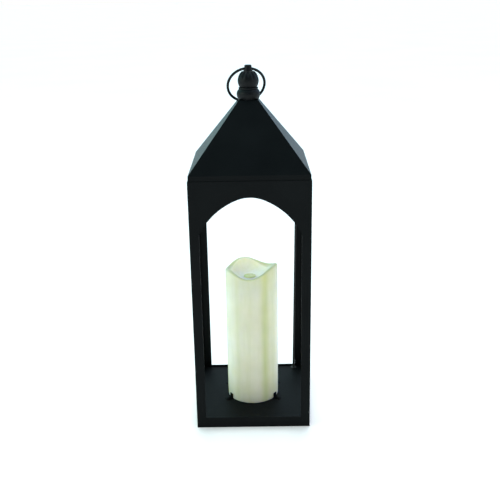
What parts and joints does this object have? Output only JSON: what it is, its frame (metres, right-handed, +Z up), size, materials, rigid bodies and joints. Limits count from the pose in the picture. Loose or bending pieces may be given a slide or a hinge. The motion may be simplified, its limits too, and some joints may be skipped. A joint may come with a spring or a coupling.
{
  "type": "solar lantern",
  "caption": "Square metal garden lantern with arched open sides, pyramid roof, finial and carrying ring, holding a flameless pillar candle lit from a solar panel on the roof.",
  "frame": {"origin": "middle of the square footprint, on the surface that the lantern stands on", "axes": "+Z up, front of the lantern towards -Y, +X to the right seen from the front"},
  "size_m": [0.15, 0.15, 0.466],
  "materials": {
    "black_powder_coat": "satin powder coat on folded sheet steel",
    "black_cast_paint": "satin paint on a cast finial",
    "black_wire": "satin paint on bent wire",
    "zinc_steel": "bright zinc plate",
    "nickel_contact": "nickel plate",
    "cell_sleeve": "heat-shrunk sleeve",
    "black_abs": "fine moulded texture",
    "white_abs": "moulded",
    "solar_silicon": "laminated silicon cells",
    "clear_resin": "clear cast resin",
    "board_laminate": "solder mask",
    "black_rubber": "matt",
    "ivory_wax": "waxed surface",
    "basin_resin": "translucent resin like molten wax",
    "diffuser": "tinted diffuser"
  },
  "bodies": {
    "lantern": {"battery_cell": "cell_sleeve", "box_cover": "black_abs", "box_screws": "zinc_steel", "candle_clip_1": "black_powder_coat", "candle_clip_2": "black_powder_coat", "candle_clip_3": "black_powder_coat", "candle_clip_4": "black_powder_coat", "candle_grommet": "black_rubber", "candle_plug": "white_abs", "candle_screws": "zinc_steel", "candle_shell": "ivory_wax", "ceiling_plate": "black_powder_coat", "circuit_board": "board_laminate", "clip_rivets": "black_powder_coat", "control_box": "black_abs", "finial_base": "black_cast_paint", "finial_collar": "black_cast_paint", "finial_eye": "black_cast_paint", "finial_nut": "zinc_steel", "finial_onion": "black_cast_paint", "finial_washer": "zinc_steel", "flame_basin": "basin_resin", "floor_grommet": "black_rubber", "floor_tray": "black_powder_coat", "front_frame": "black_powder_coat", "lamp_lead": "black_rubber", "lead_gland": "black_rubber", "led_board": "board_laminate", "led_bulb": "diffuser", "led_lens": "diffuser", "left_frame": "black_powder_coat", "negative_contact": "nickel_contact", "panel_bezel": "black_abs", "panel_window": "clear_resin", "positive_contact": "nickel_contact", "rear_frame": "black_powder_coat", "right_frame": "black_powder_coat", "roof_grommet": "black_rubber", "roof_shell": "black_powder_coat", "solar_cells": "solar_silicon", "switch_body": "black_abs"},
    "ring": {"carry_ring": "black_wire"},
    "door": {"battery_door": "black_abs"},
    "switch": {"switch_lever": "black_abs"}
  },
  "joints": [
    {"name": "ring_swing", "type": "hinge", "parent": "lantern", "child": "ring", "pos_m": [0, 0, 0.4616], "axis": [0.9833, 0.1822, 0], "range_deg": [0, 309]},
    {"name": "door_slide", "type": "slide", "parent": "lantern", "child": "door", "axis": [1, 0, 0], "range_m": [0, 0.04]},
    {"name": "switch_slide", "type": "slide", "parent": "lantern", "child": "switch", "axis": [1, 0, 0], "range_m": [0, 0.002]}
  ]
}
